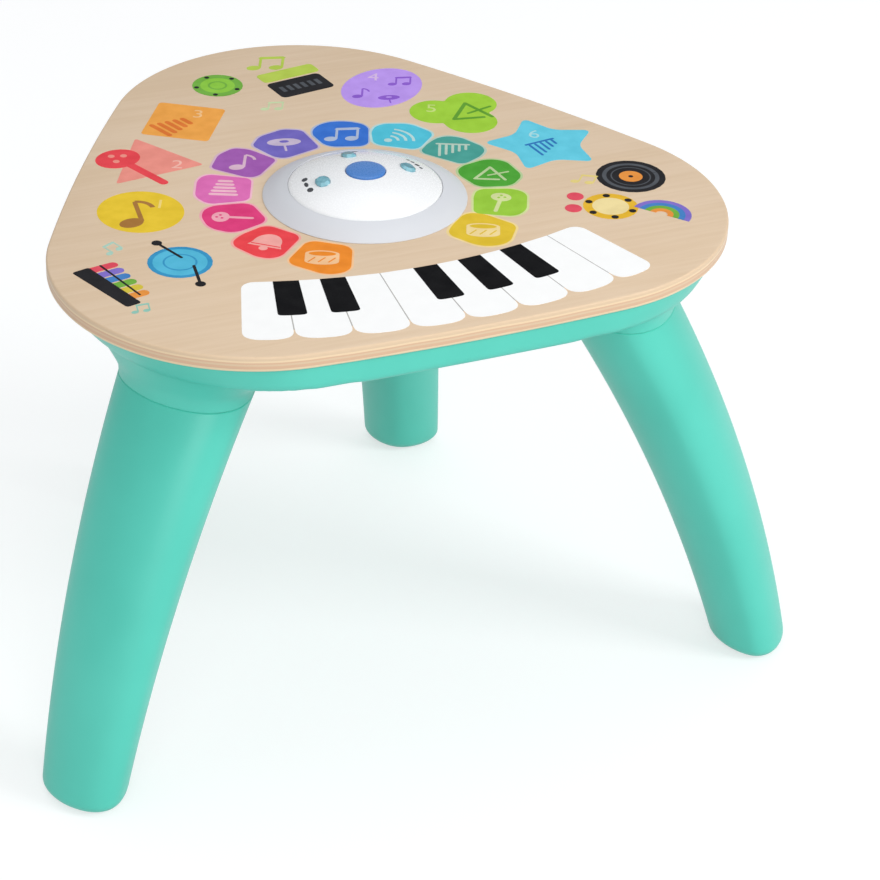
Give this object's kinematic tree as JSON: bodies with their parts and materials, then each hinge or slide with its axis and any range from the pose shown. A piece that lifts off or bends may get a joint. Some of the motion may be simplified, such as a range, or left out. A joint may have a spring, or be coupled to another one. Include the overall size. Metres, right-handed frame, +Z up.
{
  "type": "musical activity table",
  "caption": "Low toddler table with a rounded-triangle plywood touch top, a centre dome with a push button, and a moulded base on splayed pull-off legs.",
  "frame": {"origin": "centre of the bounding box's underside, on the floor the feet stand on", "axes": "+X towards the right as seen from the piano side, +Y away from the piano side, +Z up"},
  "size_m": [0.5752, 0.4588, 0.3675],
  "materials": {
    "birch_ply": "clear lacquered birch plywood, printed play surface",
    "teal_plastic": "satin moulded plastic",
    "white_plastic": "glossy moulded plastic",
    "ring_plastic": "satin pale grey moulded plastic",
    "blue_plastic": "glossy moulded plastic",
    "lens_plastic": "clear tinted light pipe",
    "pad_rubber": "soft anti-slip pad",
    "spring_steel": "drawn wire and plated screws",
    "black_plastic": "fine textured moulded plastic",
    "green_board": "solder masked circuit board",
    "led_resin": "moulded light emitting diode packages",
    "copper_film": "printed electrode film",
    "cell_sleeve": "shrink sleeve over a dry cell, as dense as aluminium",
    "magnet_steel": "plated magnet yoke",
    "paper_cone": "pressed paper diaphragm"
  },
  "bodies": {
    "table": {"top_panel": "birch_ply", "touch_film": "copper_film", "base_shell": "teal_plastic", "centre_cup": "white_plastic", "light_ring": "ring_plastic", "dome_cover": "white_plastic", "button_spring": "spring_steel", "spring_seat": "white_plastic", "tact_switch": "black_plastic", "mode_lens_left": "lens_plastic", "mode_lens_back": "lens_plastic", "mode_lens_right": "lens_plastic", "led_board": "green_board", "leds": "led_resin", "main_board": "green_board", "board_components": "black_plastic", "speaker_frame": "spring_steel", "speaker_cone": "paper_cone", "speaker_magnet": "magnet_steel", "battery_box": "black_plastic", "battery_1": "cell_sleeve", "battery_2": "cell_sleeve", "battery_3": "cell_sleeve", "battery_contacts": "spring_steel", "slide_switch": "spring_steel", "wood_screws": "spring_steel", "small_screws": "spring_steel"},
    "leg_front_left_body": {"leg_front_left": "teal_plastic", "foot_pad_front_left": "pad_rubber"},
    "leg_front_right_body": {"leg_front_right": "teal_plastic", "foot_pad_front_right": "pad_rubber"},
    "leg_rear_left_body": {"leg_rear_left": "teal_plastic", "foot_pad_rear_left": "pad_rubber"},
    "leg_rear_right_body": {"leg_rear_right": "teal_plastic", "foot_pad_rear_right": "pad_rubber"},
    "battery_door_body": {"battery_door": "teal_plastic", "door_screw": "spring_steel"},
    "mode_button_body": {"mode_button": "blue_plastic"},
    "power_slider_body": {"power_slider": "white_plastic"}
  },
  "joints": [
    {"name": "leg_front_left_pull_off", "type": "slide", "parent": "table", "child": "leg_front_left_body", "axis": [0, 0, -1], "range_m": [0, 0.04]},
    {"name": "leg_front_right_pull_off", "type": "slide", "parent": "table", "child": "leg_front_right_body", "axis": [0, 0, -1], "range_m": [0, 0.04]},
    {"name": "leg_rear_left_pull_off", "type": "slide", "parent": "table", "child": "leg_rear_left_body", "axis": [0, 0, -1], "range_m": [0, 0.04]},
    {"name": "leg_rear_right_pull_off", "type": "slide", "parent": "table", "child": "leg_rear_right_body", "axis": [0, 0, -1], "range_m": [0, 0.04]},
    {"name": "battery_door_lift_off", "type": "slide", "parent": "table", "child": "battery_door_body", "axis": [0, 0, -1], "range_m": [0, 0.03]},
    {"name": "mode_button_press", "type": "slide", "parent": "table", "child": "mode_button_body", "axis": [0, 0, -1], "range_m": [0, 0.002], "stiffness_N_per_m": 600, "springref_m": -0.001, "deforming": ["button_spring"]},
    {"name": "power_slide", "type": "slide", "parent": "table", "child": "power_slider_body", "axis": [1, 0, 0], "range_m": [0, 0.008]}
  ]
}
